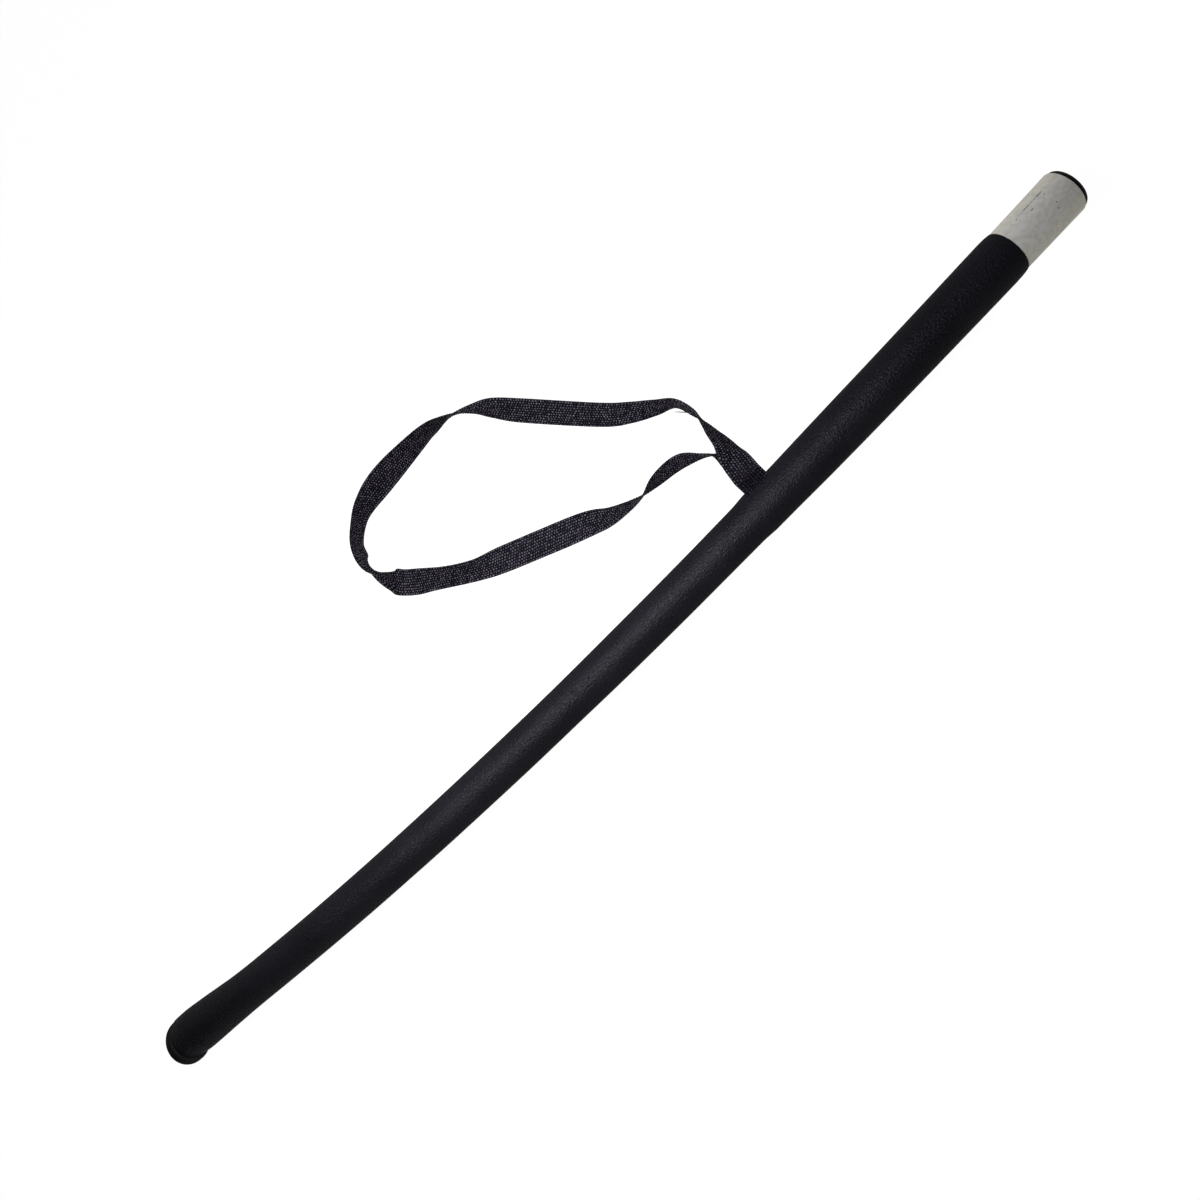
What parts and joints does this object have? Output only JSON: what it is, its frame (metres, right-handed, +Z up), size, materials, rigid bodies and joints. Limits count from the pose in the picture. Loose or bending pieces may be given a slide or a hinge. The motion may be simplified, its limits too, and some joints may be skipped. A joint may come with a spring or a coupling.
{
  "type": "short stick cane",
  "caption": "Bowed tubular stick in a rubber sleeve, with a flat rubber foot, a bare metal plugged end and a swinging webbing wrist loop.",
  "frame": {"origin": "on the floor, under the middle of the stick lying at rest, the wrist loop left out", "axes": "+X from the rubber foot to the bare metal end; +Y to the side on which the wrist loop lies; +Z up from the floor"},
  "size_m": [0.7304, 0.1937, 0.0308],
  "materials": {
    "galvanised_steel": "matt mottled galvanised steel",
    "plain_steel": "plain drawn steel, hidden under the sleeve",
    "sleeve_rubber": "satin black rubber with a fine pebbled skin",
    "tip_rubber": "matt black moulded rubber",
    "washer_steel": "plain stamped steel",
    "plug_plastic": "matt black moulded plastic",
    "pin_steel": "bright drawn steel",
    "upper_tail_webbing": "black woven webbing",
    "lower_tail_webbing": "black woven webbing",
    "loop_webbing": "black woven webbing with a faint purple sheen"
  },
  "bodies": {
    "stick": {"upper_tube": "galvanised_steel", "lower_tube": "plain_steel", "sleeve": "sleeve_rubber", "end_tip": "tip_rubber", "tip_washer": "washer_steel", "top_plug": "plug_plastic", "strap_pin": "pin_steel", "strap_tail_upper": "upper_tail_webbing", "strap_tail_lower": "lower_tail_webbing"},
    "strap": {"strap_loop": "loop_webbing"}
  },
  "joints": [
    {"name": "strap_swing", "type": "hinge", "parent": "stick", "child": "strap", "pos_m": [0.16066, 0.00984, 0.01941], "axis": [0.9993, 0.0371, 0.008], "range_deg": [0, 90]}
  ]
}
